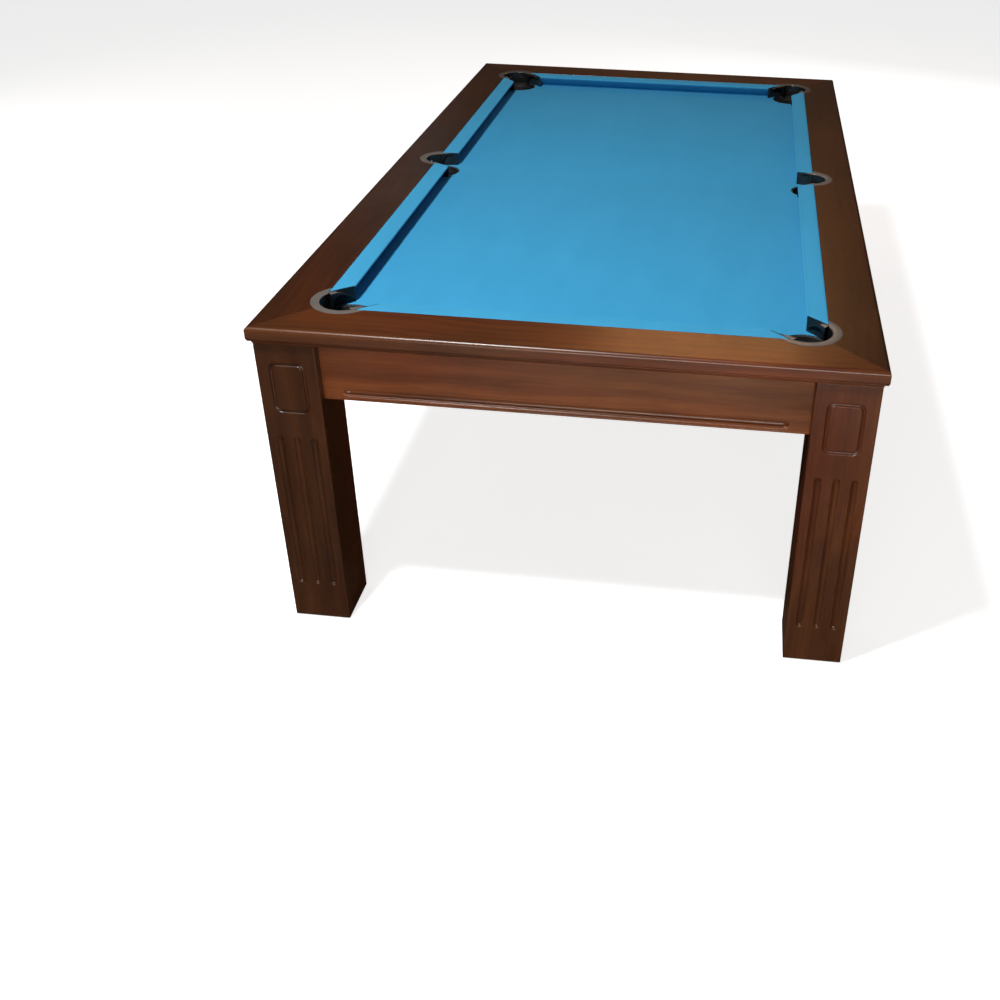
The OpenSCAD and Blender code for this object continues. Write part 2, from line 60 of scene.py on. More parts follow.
# %% Read the driving sizes
MM = 0.001
bed_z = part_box("bed_cloth")[1].z
slate_low, slate_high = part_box("slate_bed")
rail_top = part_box("rail_front")[1].z
nose_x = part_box("cushion_cloth_back_right")[0].x
wood_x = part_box("cushion_cloth_back_right")[1].x
nose_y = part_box("cushion_cloth_back")[0].y
wood_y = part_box("cushion_cloth_back")[1].y
cushion_d = wood_x - nose_x
bag_wall = 3 * MM
corner_mouth = 117 * MM
side_mouth = 120 * MM
side_lean = math.tan(math.radians(14))
QUARTERS = {"front_left": (-1, -1), "front_right": (1, -1), "back_left": (-1, 1), "back_right": (1, 1)}
SIDES = {"side_left": -1, "side_right": 1}
POCKETS = list(QUARTERS) + list(SIDES)


def bag_place(name):
    """Centre and inner radius of a pocket, and the heights of its bag's floor and rim."""
    low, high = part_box("bag_" + name)
    middle = (low + high) / 2
    return middle.x, middle.y, (high.x - low.x) / 2 - bag_wall, low.z, high.z


corner_x, corner_y, corner_r, bag_floor, bag_rim = bag_place("back_right")
side_x, _, side_r, _, _ = bag_place("side_right")
print(f"field {2 * nose_x:.3f} x {2 * nose_y:.3f} m, bed at {bed_z:.3f} m, rails at {rail_top:.3f} m")

# %% [markdown]
# ## Camera
#
# The camera stands about two metres in front of the table's near end, a little to the right and
# above head height for someone seated. A small lens shift keeps the uprights as they were framed.

# %% Place the camera
camera_data = bpy.data.cameras.new("camera")
camera_data.sensor_width = 36
camera_data.lens = 40.55
camera_data.shift_x = -0.1232
camera_data.shift_y = -0.0773
camera = bpy.data.objects.new("camera", camera_data)
camera.location = (0.3383, -3.2797, 1.8745)
camera.rotation_euler = [math.radians(a) for a in (59.193, -1.224, 6.295)]
bpy.context.scene.collection.objects.link(camera)
bpy.context.scene.camera = camera
bpy.context.scene.view_settings.view_transform = "Standard"

# %% [markdown]
# ## Floor and light
#
# A pale floor and seven lamps. A small key lamp gives the shadows their edge, and wide ones show the
# lacquer's shine and fill the shadows. The lacquer mirrors whatever is round it, so the world is kept
# dimmer than the backdrop that the camera sees: a plain white room would wash the dark wood out.

# %% Build the studio


def mesh_object(name, vertices, faces, smooth=True):
    """A piece at the origin, made from its points and faces."""
    mesh = bpy.data.meshes.new(name)
    mesh.from_pydata([tuple(v) for v in vertices], [], faces)
    mesh.validate()
    for polygon in mesh.polygons:
        polygon.use_smooth = smooth
    thing = bpy.data.objects.new(name, mesh)
    bpy.context.scene.collection.objects.link(thing)
    return thing


def area_light(name, place, target, size, power, tint=(1, 1, 1)):
    """A rectangular lamp at a place, turned to face its target. Size is in metres and power in watts."""
    data = bpy.data.lights.new(name, "AREA")
    data.shape = "RECTANGLE"
    data.size, data.size_y = size
    data.energy = power
    data.color = tint
    lamp = bpy.data.objects.new(name, data)
    lamp.location = place
    lamp.rotation_euler = (Vector(target) - Vector(place)).to_track_quat("-Z", "Y").to_euler()
    bpy.context.scene.collection.objects.link(lamp)
    return lamp


floor_half = 12
floor = mesh_object("floor", [(-floor_half, -floor_half, 0), (floor_half, -floor_half, 0),
                              (floor_half, floor_half, 0), (-floor_half, floor_half, 0)], [(0, 1, 2, 3)])
area_light("key", (-0.85, -2.1, 3.7), (0, -0.4, 0.8), (0.3, 0.3), 132)
area_light("front", (0.3, -4.6, 0.52), (0, -1.2, 0.5), (2.4, 0.5), 75, (1.0, 0.93, 0.84))
area_light("back", (0.15, 4.6, 4.0), (0.2, -1.1, 0.8), (1.6, 0.6), 21, (1.0, 0.50, 0.20))
area_light("window", (-2.1, 4.4, 2.4), (-0.6, -0.3, 0.8), (0.9, 0.4), 0.35, (0.82, 0.91, 1.0))
FILLS = {"rear": ((1.4, 4.8, 1.5), 15), "left": ((-4.8, 1.2, 1.4), 25), "right": ((4.4, -1.9, 0.4), 40)}
fill_target = (0, 0, 0.5)
fill_size = (2.4, 0.5)
for name, (place, power) in FILLS.items():
    fill = area_light(name + " fill", place, fill_target, fill_size, power)
    fill.visible_glossy = False

# %% [markdown]
# ## Node helpers
#
# Materials here are small node trees, and a few helpers keep them readable. The first adds a node and
# fills its sockets: a keyword names a socket, and i0, i1 and so on count them. The others do sums,
# blend colours, stretch a pattern and make noise.

# %% Write the node helpers


def add(tree, kind, settings=None, **sockets):
    """Adds a node. Settings are its own choices; a socket is given a value or another node's output."""
    node = tree.nodes.new(kind)
    for key, value in (settings or {}).items():
        setattr(node, key, value)
    for key, value in sockets.items():
        name = key.replace("_", " ")
        numbered = name[0] == "i" and name[1:].isdigit()
        socket = node.inputs[int(name[1:]) if numbered else name]
        if isinstance(value, bpy.types.NodeSocket):
            tree.links.new(value, socket)
        else:
            socket.default_value = value
    return node


def maths(tree, operation, a, b=0.0, clamp=False):
    node = add(tree, "ShaderNodeMath", {"operation": operation, "use_clamp": clamp}, i0=a, i1=b)
    return node.outputs[0]


def blend_colour(tree, factor, a, b, mode="MIX"):
    node = add(tree, "ShaderNodeMix", {"data_type": "RGBA", "blend_type": mode}, i0=factor, i6=a, i7=b)
    return node.outputs[2]


def stretch(tree, vector, factors):
    node = add(tree, "ShaderNodeVectorMath", {"operation": "MULTIPLY"}, i0=vector, i1=factors)
    return node.outputs[0]


def texture_noise(tree, vector, scale, detail=2.0, rough=0.5, distortion=0.0):
    node = add(tree, "ShaderNodeTexNoise", None, Vector=vector, Scale=scale, Detail=detail,
               Roughness=rough, Distortion=distortion)
    return node.outputs["Fac"]


def between(tree, value, low, high, out_low=0.0, out_high=1.0):
    """Turns low..high into out_low..out_high and holds it there beyond."""
    node = add(tree, "ShaderNodeMapRange", {"clamp": True}, i0=value, i1=low, i2=high,
               i3=out_low, i4=out_high)
    return node.outputs[0]


print("node helpers ready")

# %% [markdown]
# ## Groups and materials
#
# An effect that several finishes share is built once as a shader group with named sockets, and each
# material places it with its own values. The Principled shader itself stays in the material.

# %% Write the group and material helpers
KINDS = {"vector": "NodeSocketVector", "value": "NodeSocketFloat", "colour": "NodeSocketColor"}


def shader_group(name, inputs, outputs):
    """A new group. Inputs are {name: (kind, default)} and outputs {name: kind}."""
    group = bpy.data.node_groups.new(name, "ShaderNodeTree")
    for key, (kind, default) in inputs.items():
        socket = group.interface.new_socket(key, in_out="INPUT", socket_type=KINDS[kind])
        if default is not None:
            socket.default_value = default
    for key, kind in outputs.items():
        group.interface.new_socket(key, in_out="OUTPUT", socket_type=KINDS[kind])
    start = group.nodes.new("NodeGroupInput")
    end = group.nodes.new("NodeGroupOutput")
    return group, start.outputs, end.inputs


def use_group(tree, group, **sockets):
    return add(tree, "ShaderNodeGroup", {"node_tree": group}, **sockets).outputs


def start_material(name, **constants):
    """A material with an empty tree, its Principled shader holding the constants. Returns all three."""
    material = bpy.data.materials.new(name)
    material.use_nodes = True
    tree = material.node_tree
    tree.nodes.clear()
    shader = add(tree, "ShaderNodeBsdfPrincipled", None, **constants)
    out = add(tree, "ShaderNodeOutputMaterial")
    tree.links.new(shader.outputs[0], out.inputs["Surface"])
    return material, tree, shader


def object_place(tree):
    return add(tree, "ShaderNodeTexCoord").outputs["Object"]


def bump(tree, height, distance, strength=1.0, normal=None):
    node = add(tree, "ShaderNodeBump", None, Height=height, Distance=distance, Strength=strength)
    if normal is not None:
        tree.links.new(normal, node.inputs["Normal"])
    return node.outputs[0]


print("group and material helpers ready")

# %% [markdown]
# ## Wood grain
#
# Wood grain is long fibre, a slower figure, and fine dark pores, all drawn out along the board. It
# could be painted, but noise stretched along X follows a board of any size. One group makes it for the
# stained wood and for the bare pine, each with its own colours.

# %% Make the grain group
grain_group, gi, go = shader_group("wood_grain", {
    "Place": ("vector", None), "Board": ("value", 0.0), "Dark": ("colour", (0.02, 0.01, 0.005, 1)),
    "Middle": ("colour", (0.08, 0.03, 0.01, 1)), "Light": ("colour", (0.2, 0.08, 0.03, 1)),
    "Figure": ("value", 1.0), "Pores": ("value", 1.0)},
    {"Color": "colour", "Height": "value", "Pore": "value"})
gt = grain_group
shift = add(gt, "ShaderNodeCombineXYZ", None, X=gi["Board"], Y=gi["Board"], Z=gi["Board"]).outputs[0]
place = add(gt, "ShaderNodeVectorMath", {"operation": "ADD"}, i0=gi["Place"], i1=shift).outputs[0]
sway = texture_noise(gt, stretch(gt, place, (0.6, 1, 1)), 2.2, 2.0)
sway_vector = add(gt, "ShaderNodeCombineXYZ", None, X=sway, Y=sway, Z=sway).outputs[0]
swayed = add(gt, "ShaderNodeVectorMath", {"operation": "MULTIPLY_ADD"}, i0=(0, 0.10, 0.06),
             i1=sway_vector, i2=place).outputs[0]
fibre = texture_noise(gt, stretch(gt, swayed, (0.035, 1, 1)), 210.0, 5.0, 0.62)
streak = texture_noise(gt, stretch(gt, swayed, (0.05, 1, 1)), 46.0, 3.0, 0.55)
ring_kind = {"wave_type": "RINGS", "rings_direction": "X", "wave_profile": "SIN"}
rings = add(gt, "ShaderNodeTexWave", ring_kind, Vector=stretch(gt, swayed, (0.10, 1, 0.55)), Scale=15.0,
            Distortion=5.0, Detail=1.0).outputs["Fac"]
pore_noise = texture_noise(gt, stretch(gt, swayed, (0.022, 1, 1)), 620.0, 2.0, 0.5)
pore = maths(gt, "MULTIPLY", between(gt, pore_noise, 0.60, 0.70), gi["Pores"])
tone = maths(gt, "ADD", maths(gt, "MULTIPLY", fibre, 0.55), maths(gt, "MULTIPLY", streak, 0.45))
figure_share = maths(gt, "MULTIPLY", gi["Figure"], 0.30)
figured = maths(gt, "ADD", tone, maths(gt, "MULTIPLY", maths(gt, "SUBTRACT", rings, 0.5), figure_share))
low_tone = between(gt, figured, 0.28, 0.52)
high_tone = between(gt, figured, 0.50, 0.78)
colour = blend_colour(gt, low_tone, gi["Dark"], gi["Middle"])
colour = blend_colour(gt, high_tone, colour, gi["Light"])
cloud = between(gt, texture_noise(gt, stretch(gt, place, (0.5, 1, 1)), 5.0, 3.0), 0.30, 0.70, 0.72, 1.18)
cloud_grey = add(gt, "ShaderNodeCombineColor", None, i0=cloud, i1=cloud, i2=cloud).outputs[0]
colour = blend_colour(gt, 1.0, colour, cloud_grey, "MULTIPLY")
patch = between(gt, texture_noise(gt, stretch(gt, place, (0.35, 1, 1)), 3.4, 2.0), 0.42, 0.66)
warmer = blend_colour(gt, 1.0, colour, (1.22, 0.86, 0.62, 1), "MULTIPLY")
colour = blend_colour(gt, patch, colour, warmer)
colour = blend_colour(gt, maths(gt, "MULTIPLY", pore, 0.6), colour, gi["Dark"])
gt.links.new(colour, go["Color"])
gt.links.new(maths(gt, "SUBTRACT", maths(gt, "MULTIPLY", fibre, 0.5), pore), go["Height"])
gt.links.new(pore, go["Pore"])
print("wood_grain", len(gt.nodes), "nodes")

# %% [markdown]
# ## Worn edges, painted edge highlights and handled surfaces
#
# Lacquer wears thin and steel rubs bright along edges, and on the wood the lighter edges are also a
# painted highlight along the arrises. A Bevel node finds them: where the rounded normal differs from
# the true one, an edge is near. The second group gives the faint cloudiness that hands and dust leave
# on any surface, as a roughness and a mask.

# %% Make the edge and cloudiness groups
edge_group, ei, eo = shader_group("edge_wear_and_highlight", {
    "Radius": ("value", 0.003), "Breakup": ("value", 60.0), "Place": ("vector", None)},
    {"Mask": "value", "Normal": "vector"})
et = edge_group
soft = add(et, "ShaderNodeBevel", {"samples": 6}, Radius=ei["Radius"]).outputs[0]
true_normal = add(et, "ShaderNodeNewGeometry").outputs["Normal"]
facing = add(et, "ShaderNodeVectorMath", {"operation": "DOT_PRODUCT"}, i0=soft,
             i1=true_normal).outputs["Value"]
patchy = between(et, texture_noise(et, ei["Place"], ei["Breakup"], 3.0), 0.35, 0.7)
et.links.new(maths(et, "MULTIPLY", between(et, facing, 0.995, 0.80), patchy, True), eo["Mask"])
et.links.new(soft, eo["Normal"])

cloud_group, ci, co = shader_group("handled_surface", {
    "Place": ("vector", None), "Scale": ("value", 9.0), "Low": ("value", 0.2), "High": ("value", 0.35)},
    {"Roughness": "value", "Mask": "value"})
ct = cloud_group
smear = texture_noise(ct, stretch(ct, ci["Place"], (1.0, 0.6, 0.8)), ci["Scale"], 4.0, 0.6, 0.4)
fine = texture_noise(ct, ci["Place"], maths(ct, "MULTIPLY", ci["Scale"], 14.0), 2.0)
both = maths(ct, "ADD", maths(ct, "MULTIPLY", smear, 0.75), maths(ct, "MULTIPLY", fine, 0.25))
ct.links.new(between(ct, both, 0.3, 0.7, ci["Low"], ci["High"]), co["Roughness"])
ct.links.new(between(ct, both, 0.45, 0.7), co["Mask"])
print("edge_wear_and_highlight and handled_surface ready")

# %% [markdown]
# ## Wood materials
#
# Rails, aprons and legs are a hardwood stained walnut brown under gloss lacquer. The grain has to run
# along each board, so each direction has its own material, which turns the pattern before the group
# reads it. The coat is the lacquer: smooth, clear and a little uneven. Each board scales the stain by
# a tone set to how bright that board looked, which paints in light and shade: the apron is lightest,
# the side rails and the front left leg darkest.

# %% Make the wood materials
GRAIN_TURN = {"X": (0, 0, 0), "Y": (0, 0, -math.pi / 2), "Z": (0, math.pi / 2, 0)}


def wood_material(name, along, board, dark, middle, light, coat, rough, pores, figure, wear_and_highlight):
    material, tree, shader = start_material(
        name, IOR=1.5, Coat_Weight=coat, Coat_Roughness=0.27, Coat_IOR=1.5, Specular_IOR_Level=0.3)
    here = object_place(tree)
    turned = add(tree, "ShaderNodeMapping", None, Vector=here, Rotation=GRAIN_TURN[along]).outputs[0]
    grain = use_group(tree, grain_group, Place=turned, Board=board, Dark=dark, Middle=middle, Light=light,
                      Pores=pores, Figure=figure)
    edge = use_group(tree, edge_group, Place=here, Radius=0.0022, Breakup=30.0)
    handled = use_group(tree, cloud_group, Place=here, Scale=6.0, Low=rough[0], High=rough[1])
    # Edges are lightened toward the Light colour: partly worn lacquer, partly a painted highlight along the
    # arrises.
    worn_and_highlit = blend_colour(tree, maths(tree, "MULTIPLY", edge["Mask"], wear_and_highlight), grain["Color"], light)
    tree.links.new(worn_and_highlit, shader.inputs["Base Color"])
    tree.links.new(maths(tree, "ADD", handled["Roughness"], maths(tree, "MULTIPLY", grain["Pore"], 0.12)),
                   shader.inputs["Roughness"])
    surface = bump(tree, grain["Height"], 0.00025, 0.55, edge["Normal"])
    tree.links.new(surface, shader.inputs["Normal"])
    ripple = bump(tree, texture_noise(tree, here, 70.0, 2.0), 0.0003, 0.16, edge["Normal"])
    tree.links.new(ripple, shader.inputs["Coat Normal"])
    return material


STAIN = ((0.074, 0.0205, 0.0044), (0.112, 0.032, 0.0066), (0.160, 0.049, 0.0096))
# Painted light and shade: each board's tone scales the stain to how bright that board looked.
BOARD_LIGHT_AND_SHADE = {"apron": 1.1, "leg_front_left": 0.35, "leg": 0.50, "rail_front": 0.70, "rail_back": 0.5,
         "rail_left": 0.34, "rail_right": 0.30}
PINE = ((0.36, 0.22, 0.10, 1), (0.56, 0.38, 0.19, 1), (0.70, 0.52, 0.29, 1))


def stained(along, board, tone):
    """Stained and lacquered wood. The board's number picks its own part of the grain, and the tone scales
    the stain to paint in the board's light and shade.
    """
    colours = [tuple(c * tone for c in shade) + (1,) for shade in STAIN]
    return wood_material(f"stained_{along}_{board}", along, board * 1.37, *colours, coat=0.5,
                         rough=(0.28, 0.42), pores=0.0, figure=0.4, wear_and_highlight=0.2)


def pine(along, board):
    return wood_material(f"pine_{along}_{board}", along, board * 2.11, *PINE, coat=0.0,
                         rough=(0.55, 0.75), pores=0.3, figure=1.2, wear_and_highlight=0.15)


def dress(node, material):
    """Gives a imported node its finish. Its mesh and place are left alone."""
    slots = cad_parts[node].data.materials
    slots.clear()
    slots.append(material)


WOOD_RUN = {"leg": "Z", "apron_front": "X", "apron_back": "X", "apron_left": "Y", "apron_right": "Y",
            "rail_front": "X", "rail_back": "X", "rail_left": "Y", "rail_right": "Y"}
boards = 0
for node in sorted(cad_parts):
    run = next((WOOD_RUN[key] for key in WOOD_RUN if node.startswith(key)), None)
    if run:
        boards += 1
        # Each board's tone, painted light and shade, scales its stain.
        tone = next(BOARD_LIGHT_AND_SHADE[key] for key in BOARD_LIGHT_AND_SHADE if node.startswith(key))
        dress(node, stained(run, boards, tone))
for number, node in enumerate(n for n in sorted(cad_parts) if n.startswith(("beam_", "cross_beam"))):
    dress(node, pine("Y" if node in ("beam_left", "beam_right") else "X", number))
print("stained boards", boards)

# %% [markdown]
# ## Metal, slate, rubber and moulded finishes
#
# These cover what holds the table together. Most of it shows only from below, but each still gets
# the wear it would have: brushed zinc, honed slate with faint banding, dusty rubber.

# %% Make the hard finishes


def steel_material(name, colour, rough):
    material, tree, shader = start_material(name, Metallic=1.0, IOR=2.2)
    here = object_place(tree)
    handled = use_group(tree, cloud_group, Place=here, Scale=40.0, Low=rough[0], High=rough[1])
    edge = use_group(tree, edge_group, Place=here, Radius=0.0008, Breakup=300.0)
    dull = tuple(c * 0.72 for c in colour) + (1,)
    base = blend_colour(tree, handled["Mask"], colour + (1,), dull)
    bright = tuple(min(1.0, c * 1.25) for c in colour) + (1,)
    tree.links.new(blend_colour(tree, edge["Mask"], base, bright), shader.inputs["Base Color"])
    tree.links.new(handled["Roughness"], shader.inputs["Roughness"])
    scratches = texture_noise(tree, stretch(tree, here, (1, 1, 0.05)), 900.0, 2.0)
    tree.links.new(bump(tree, scratches, 0.0001, 0.25, edge["Normal"]), shader.inputs["Normal"])
    return material


def rubber_material(name, colour, rough):
    material, tree, shader = start_material(name, IOR=1.48, Specular_IOR_Level=0.35)
    here = object_place(tree)
    handled = use_group(tree, cloud_group, Place=here, Scale=22.0, Low=rough[0], High=rough[1])
    dusty = tuple(c * 1.6 + 0.01 for c in colour) + (1,)
    tree.links.new(blend_colour(tree, handled["Mask"], colour + (1,), dusty), shader.inputs["Base Color"])
    tree.links.new(handled["Roughness"], shader.inputs["Roughness"])
    grit = texture_noise(tree, here, 1400.0, 2.0)
    tree.links.new(bump(tree, grit, 0.0001, 0.35), shader.inputs["Normal"])
    return material


def slate_material():
    material, tree, shader = start_material("honed_slate", IOR=1.5)
    here = object_place(tree)
    bands = texture_noise(tree, stretch(tree, here, (1, 0.35, 6)), 7.0, 5.0, 0.6, 1.2)
    colour = blend_colour(tree, between(tree, bands, 0.3, 0.7), (0.055, 0.062, 0.068, 1),
                          (0.13, 0.14, 0.145, 1))
    handled = use_group(tree, cloud_group, Place=here, Scale=12.0, Low=0.55, High=0.8)
    tree.links.new(colour, shader.inputs["Base Color"])
    tree.links.new(handled["Roughness"], shader.inputs["Roughness"])
    grit = texture_noise(tree, here, 160.0, 6.0, 0.65)
    tree.links.new(bump(tree, grit, 0.0004, 0.5), shader.inputs["Normal"])
    return material


zinc = steel_material("bright_zinc", (0.62, 0.63, 0.65), (0.28, 0.45))
yellow_zinc = steel_material("yellow_zinc", (0.66, 0.52, 0.26), (0.3, 0.5))
screw_steel = steel_material("screw_steel", (0.50, 0.51, 0.53), (0.25, 0.4))
cushion_rubber = rubber_material("cushion_rubber", (0.018, 0.018, 0.018), (0.6, 0.8))
# The facing rubber is dark, and its blue tint is a painted reflection of the cloth.
facing_rubber = rubber_material("facing_rubber", (0.004, 0.016, 0.024), (0.5, 0.7))
dress("slate_bed", slate_material())
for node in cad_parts:
    if node.startswith("rubber_"):
        dress(node, cushion_rubber)
    elif node == "foot_inserts":
        dress(node, yellow_zinc)
    elif node == "corner_brackets" or node.startswith("foot_"):
        dress(node, zinc)
    elif node.endswith(("_bolts", "_screws")):
        dress(node, screw_steel)
print("hard finishes on")

# %% [markdown]
# ## Playing cloth
#
# Pool cloth is a napped wool blend: a tight weave under short brushed fibre, so it looks matt and
# soft with a pale sheen at low angles. The weave is two crossed ridges half a millimetre apart, and a
# fibre noise over them breaks up the colour. Both are in a group, because the bed and the cushions
# use the same cloth in two slightly different blues.

# %% Make the cloth material
weave_group, wi, wo = shader_group("napped_weave", {
    "Place": ("vector", None), "Thread": ("value", 0.0009), "Dark": ("colour", (0.03, 0.2, 0.35, 1)),
    "Light": ("colour", (0.08, 0.4, 0.6, 1))},
    {"Color": "colour", "Height": "value"})
wt = weave_group
pitch = maths(wt, "DIVIDE", math.tau, wi["Thread"])
split = add(wt, "ShaderNodeSeparateXYZ", None, i0=wi["Place"]).outputs
warp = maths(wt, "SINE", maths(wt, "MULTIPLY", split[0], pitch))
weft = maths(wt, "SINE", maths(wt, "MULTIPLY", maths(wt, "ADD", split[1], split[2]), pitch))
threads = maths(wt, "MULTIPLY", warp, weft)
fuzz = texture_noise(wt, stretch(wt, wi["Place"], (1, 0.55, 1)), 2600.0, 3.0, 0.7)
nap = texture_noise(wt, stretch(wt, wi["Place"], (1, 0.25, 1)), 14.0, 4.0, 0.6)
body = maths(wt, "ADD", maths(wt, "MULTIPLY", fuzz, 0.5), maths(wt, "MULTIPLY", nap, 0.5))
wt.links.new(blend_colour(wt, between(wt, body, 0.3, 0.7), wi["Dark"], wi["Light"]), wo["Color"])
wt.links.new(maths(wt, "ADD", maths(wt, "MULTIPLY", threads, 0.25), fuzz), wo["Height"])


def cloth_material(name, dark, light):
    material, tree, shader = start_material(name, Sheen_Weight=0.14, Sheen_Roughness=0.45, IOR=1.4,
                                            Specular_IOR_Level=0.08, Sheen_Tint=(0.4, 0.8, 1.0, 1))
    here = object_place(tree)
    weave = use_group(tree, weave_group, Place=here, Dark=dark, Light=light)
    handled = use_group(tree, cloud_group, Place=here, Scale=5.0, Low=0.86, High=0.97)
    tree.links.new(weave["Color"], shader.inputs["Base Color"])
    tree.links.new(handled["Roughness"], shader.inputs["Roughness"])
    tree.links.new(bump(tree, weave["Height"], 0.0003, 0.5), shader.inputs["Normal"])
    return material


bed_blue = cloth_material("bed_blue", (0.039, 0.28, 0.50, 1), (0.047, 0.315, 0.56, 1))
cushion_blue = cloth_material("cushion_blue", (0.041, 0.28, 0.49, 1), (0.051, 0.325, 0.56, 1))
print("cloth ready")

# %% [markdown]
# ## Steps that every built piece shares
#
# A built piece gets its faces turned outwards while it is still a single skin, and only then its wall,
# because on a closed shell the same step would turn the inner wall round. Modifiers are made into
# plain mesh, and the last helper says which body the piece rides on and which plain solids it replaces.

# %% Write the piece helpers


def tidy_faces(mesh, triangulate=False, sharp=None):
    """Turns faces outwards. Wide faces may be cut into triangles, and edges past an angle made sharp."""
    shape = bmesh.new()
    shape.from_mesh(mesh)
    bmesh.ops.recalc_face_normals(shape, faces=shape.faces)
    if triangulate:
        bmesh.ops.triangulate(shape, faces=[f for f in shape.faces if len(f.verts) > 4])
    if sharp is not None:
        for edge in shape.edges:
            if len(edge.link_faces) == 2 and edge.calc_face_angle(0) > sharp:
                edge.smooth = False
    shape.to_mesh(mesh)
    shape.free()


def bake(thing):
    """Turns an object's live modifiers into its own mesh."""
    bpy.context.view_layer.update()
    made = bpy.data.meshes.new_from_object(thing.evaluated_get(bpy.context.evaluated_depsgraph_get()))
    thing.modifiers.clear()
    thing.data = made


def thicken(thing, thickness):
    """Gives a single surface the thickness of its material, inwards, as real geometry."""
    wall = thing.modifiers.new("wall", "SOLIDIFY")
    wall.thickness = thickness
    wall.offset = -1
    bake(thing)


def finish_piece(thing, material, slot_name, *nodes, body="table"):
    """The same last steps for every piece: finish, body and the nodes it stands for. The slot name is not
    used.
    """
    thing.data.materials.clear()
    thing.data.materials.append(material)
    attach(thing, body)
    if nodes:
        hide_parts(*nodes)
    return thing


print("piece helpers ready")

# %% [markdown]
# ## Bed cloth
#
# The cloth is pulled tight over the slate, rolls over the lip of every pocket notch and down the
# slate's edges, and is glued there. It is drawn as one outline that follows the slate, repeated in
# rings: the first ring bounds the flat field, and the next ones roll over the edge.

# %% Build the bed cloth


def arc(cx, cy, r, start, end, steps):
    angles = [start + (end - start) * k / steps for k in range(steps + 1)]
    return [(cx + r * math.cos(a), cy + r * math.sin(a)) for a in angles]


def pocket_bend(centre, radius, facing, steps):
    """A pocket notch: the part of its circle that lies beyond the straight sides that lead to it."""
    spread = math.asin((radius - notch_narrow) / radius)
    return arc(*centre, radius, facing - spread, facing + spread - math.tau, steps)


notch_gap = 6 * MM
notch_narrow = 4 * MM


def bed_outline(out):
    """The slate's outline moved out by a distance: pockets get tighter, outer edges move outward."""
    edge_x, edge_y = slate_high.x + out, slate_high.y + out
    bend = pocket_bend((corner_x, corner_y), corner_r + notch_gap - out, math.pi / 4, 40)
    first, last = bend[0], bend[-1]
    corner = [(edge_x, first[1] + edge_x - first[0])] + bend + [(last[0] + edge_y - last[1], edge_y)]
    bend = pocket_bend((side_x, 0), side_r + notch_gap - out, 0, 32)
    half = side_r + notch_gap - out - notch_narrow
    middle = [(edge_x, -half)] + bend + [(edge_x, half)]
    back_left = [(-x, y) for x, y in reversed(corner)]
    front_left = [(-x, -y) for x, y in corner]
    front_right = [(x, -y) for x, y in reversed(corner)]
    other_middle = [(-x, -y) for x, y in middle]
    return middle + corner + back_left + other_middle + front_left + front_right


def build_bed_cloth():
    """The cloth's outer face: the flat field, the roll over the slate's edge, and the turned-down strip."""
    roll = 2.5 * MM
    down = 19 * MM
    rings = [(-roll + roll * math.sin(a), bed_z - roll + roll * math.cos(a))
             for a in [math.radians(15 * k) for k in range(7)]]
    rings.append((0.0, bed_z - down))
    vertices, faces = [], []
    for out, z in rings:
        vertices += [(x, y, z) for x, y in bed_outline(out)]
    count = len(vertices) // len(rings)
    for k in range(len(rings) - 1):
        for j in range(count):
            n = (j + 1) % count
            faces.append((k * count + j, (k + 1) * count + j, (k + 1) * count + n, k * count + n))
    faces.append(tuple(range(count)))
    cloth = mesh_object("playing_cloth", vertices, faces)
    tidy_faces(cloth.data, triangulate=True)
    return cloth


bed_cloth_t = 0.8 * MM
bed = build_bed_cloth()
thicken(bed, bed_cloth_t)
finish_piece(bed, bed_blue, "blue_cloth", "bed_cloth")

# %% [markdown]
# ## Cushions
#
# Each cushion is a rubber strip with a pointed nose, glued to a block on the rail, with cloth drawn
# over both. The cloth dips into a groove at the wood line, runs nearly flat to the nose, and tucks
# back under. The section is a list of points with a formula for the crown and an arc for the nose.

# %% Draw the cushion's section
NOSE_CENTRE = (-cushion_d + 2.8 * MM, 34.8 * MM)
NOSE_R = 2.8 * MM


def cushion_section():
    """Points (across, up) from the groove at the wood line, over the top and the nose, to the foot."""
    points = [(-0.6 * MM, 36.4 * MM), (-0.9 * MM, 38.2 * MM)]
    for k in range(12):
        t = k / 11
        across = -1.8 * MM - t * 40.6 * MM
        crown = 0.7 * MM * math.sin(math.pi * min(1.0, t * 1.05))
        points.append((across, 38.85 * MM - 1.75 * MM * t ** 1.5 + crown * (1 - t)))
    for degrees in range(100, 226, 18):
        a = math.radians(degrees)
        points.append((NOSE_CENTRE[0] + NOSE_R * math.cos(a), NOSE_CENTRE[1] + NOSE_R * math.sin(a)))
    under = [(-38.5, 26.2), (-30.5, 17.6), (-22.8, 9.4), (-19.0, 7.9), (-15.4, 7.0), (-15.2, 3.5),
             (-15.2, 0.7)]
    return points + [(u * MM, v * MM) for u, v in under]


# %% [markdown]
# ## Cushion covers
#
# A sweep of the section along the rail gives the run. At a pocket the cloth folds over the cut end, so
# the last rings of the sweep close in round the cut and give the fold a rounded edge. The ends lean:
# 45 degrees at a corner pocket, and much less at a side pocket.

# %% Build the cushion covers


